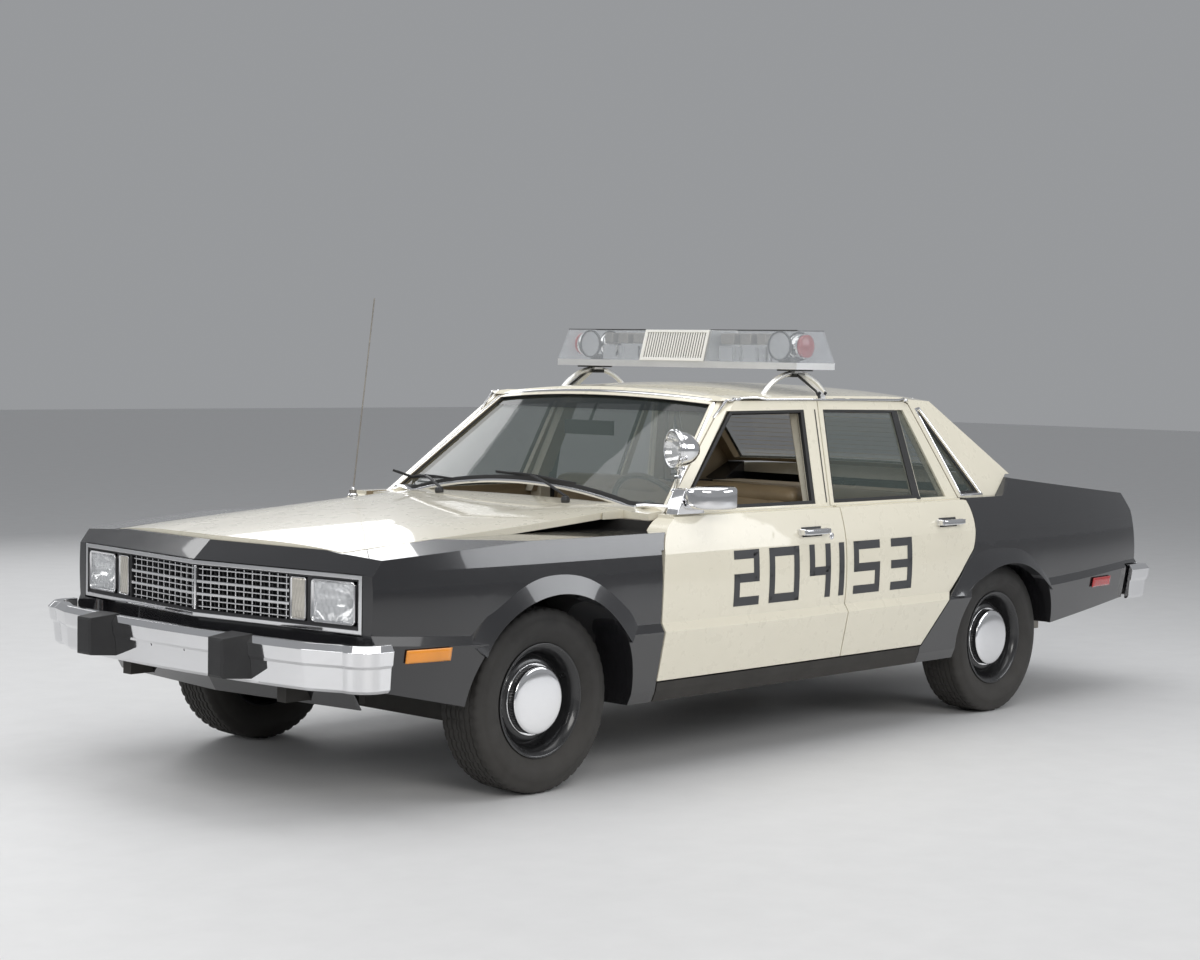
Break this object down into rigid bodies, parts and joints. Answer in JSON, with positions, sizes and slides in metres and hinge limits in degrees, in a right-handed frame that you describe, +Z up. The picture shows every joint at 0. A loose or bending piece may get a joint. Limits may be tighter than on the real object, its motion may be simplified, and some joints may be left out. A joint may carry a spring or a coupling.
{
  "type": "police patrol car",
  "caption": "Black and cream police patrol sedan with opening doors, hood and boot, steering, free-turning wheels and a roof light bar.",
  "frame": {"origin": "on the floor below the middle of the car", "axes": "+X forward, +Y to the car's left, +Z up"},
  "size_m": [4.921, 1.867, 1.6638],
  "materials": {
    "black_paint": "gloss",
    "cream_paint": "gloss",
    "underbody": "matt",
    "chrome": "polished",
    "lamp_glass": "fluted",
    "amber_lens": "gloss",
    "red_lens": "gloss",
    "clear_lens": "clear",
    "glass": "tinted",
    "black_rubber": "satin",
    "trim": "grained",
    "seat_vinyl": "grained vinyl",
    "cast_metal": "rough",
    "steel": "dull",
    "aluminium": "satin",
    "wheel_paint": "satin",
    "tyre": "matt"
  },
  "bodies": {
    "body": {"floor_pan": "underbody", "front_fenders": "black_paint", "quarter_panels": "black_paint", "roof": "cream_paint", "cowl": "cream_paint", "rear_deck_panel": "cream_paint", "lamp_bezel": "underbody", "boot_floor": "underbody", "front_structure": "underbody", "radiator": "aluminium", "lamp_surround": "chrome", "grille": "chrome", "head_lamps": "lamp_glass", "turn_lamps": "amber_lens", "front_bumper": "chrome", "rear_bumper": "chrome", "bumper_guards": "black_rubber", "tail_lamps": "red_lens", "window_glass": "glass", "dashboard": "trim", "steering_column": "trim", "front_seat": "seat_vinyl", "rear_seat": "seat_vinyl", "rear_axle": "cast_metal", "front_suspension": "cast_metal", "exhaust": "steel", "fuel_tank": "steel", "engine": "cast_metal", "light_bar_base": "aluminium", "light_bar_lens": "clear_lens", "light_bar_lamps": "chrome", "spot_lamp": "chrome", "antenna": "steel", "wipers": "black_rubber", "interior_mirror": "black_rubber"},
    "knuckle_left": {"knuckle_left": "cast_metal"},
    "wheel_front_left": {"wheel_front_left": "wheel_paint", "tyre_front_left": "tyre"},
    "door_front_left": {"door_front_left": "cream_paint", "door_handle_front_left": "chrome", "door_mirror": "chrome"},
    "wheel_rear_left": {"wheel_rear_left": "wheel_paint", "tyre_rear_left": "tyre"},
    "door_rear_left": {"door_rear_left": "cream_paint", "door_handle_rear_left": "chrome", "door_glass_rear_left": "glass"},
    "knuckle_right": {"knuckle_right": "cast_metal"},
    "wheel_front_right": {"wheel_front_right": "wheel_paint", "tyre_front_right": "tyre"},
    "door_front_right": {"door_front_right": "cream_paint", "door_handle_front_right": "chrome", "door_glass_front_right": "glass"},
    "wheel_rear_right": {"wheel_rear_right": "wheel_paint", "tyre_rear_right": "tyre"},
    "door_rear_right": {"door_rear_right": "cream_paint", "door_handle_rear_right": "chrome", "door_glass_rear_right": "glass"},
    "hood": {"hood": "cream_paint"},
    "boot_lid": {"boot_lid": "cream_paint"},
    "steering_wheel": {"steering_wheel": "black_rubber"}
  },
  "joints": [
    {"name": "steer_left", "type": "hinge", "parent": "body", "child": "knuckle_left", "pos_m": [1.452, 0.655, 0.31], "axis": [0, 0, 1], "range_deg": [-30, 30]},
    {"name": "spin_front_left", "type": "hinge", "parent": "knuckle_left", "child": "wheel_front_left", "pos_m": [1.452, 0.719, 0.31], "axis": [0, 1, 0], "continuous": true},
    {"name": "door_front_left_swing", "type": "hinge", "parent": "body", "child": "door_front_left", "pos_m": [0.956, 0.903, 0.6], "axis": [0, 0, -1], "range_deg": [0, 65]},
    {"name": "spin_rear_left", "type": "hinge", "parent": "body", "child": "wheel_rear_left", "pos_m": [-1.228, 0.724, 0.31], "axis": [0, 1, 0], "continuous": true},
    {"name": "door_rear_left_swing", "type": "hinge", "parent": "body", "child": "door_rear_left", "pos_m": [-0.081, 0.903, 0.6], "axis": [0, 0, -1], "range_deg": [0, 65]},
    {"name": "steer_right", "type": "hinge", "parent": "body", "child": "knuckle_right", "pos_m": [1.452, -0.655, 0.31], "axis": [0, 0, 1], "range_deg": [-30, 30]},
    {"name": "spin_front_right", "type": "hinge", "parent": "knuckle_right", "child": "wheel_front_right", "pos_m": [1.452, -0.719, 0.31], "axis": [0, 1, 0], "continuous": true},
    {"name": "door_front_right_swing", "type": "hinge", "parent": "body", "child": "door_front_right", "pos_m": [0.956, -0.903, 0.6], "axis": [0, 0, 1], "range_deg": [0, 65]},
    {"name": "spin_rear_right", "type": "hinge", "parent": "body", "child": "wheel_rear_right", "pos_m": [-1.228, -0.724, 0.31], "axis": [0, 1, 0], "continuous": true},
    {"name": "door_rear_right_swing", "type": "hinge", "parent": "body", "child": "door_rear_right", "pos_m": [-0.081, -0.903, 0.6], "axis": [0, 0, 1], "range_deg": [0, 65]},
    {"name": "hood_lift", "type": "hinge", "parent": "body", "child": "hood", "pos_m": [0.864, 0, 0.936], "axis": [0, -1, 0], "range_deg": [0, 50]},
    {"name": "boot_lid_lift", "type": "hinge", "parent": "body", "child": "boot_lid", "pos_m": [-1.438, 0, 0.985], "axis": [0, 1, 0], "range_deg": [0, 70]},
    {"name": "steering_wheel_turn", "type": "hinge", "parent": "body", "child": "steering_wheel", "pos_m": [0.452, 0.38, 0.855], "axis": [-0.8829, 0, 0.4695], "range_deg": [-420, 420]}
  ],
  "couplings": [
    {"joint": "steer_right", "follows": "steer_left", "ratio": 1},
    {"joint": "steering_wheel_turn", "follows": "steer_left", "ratio": 14}
  ]
}
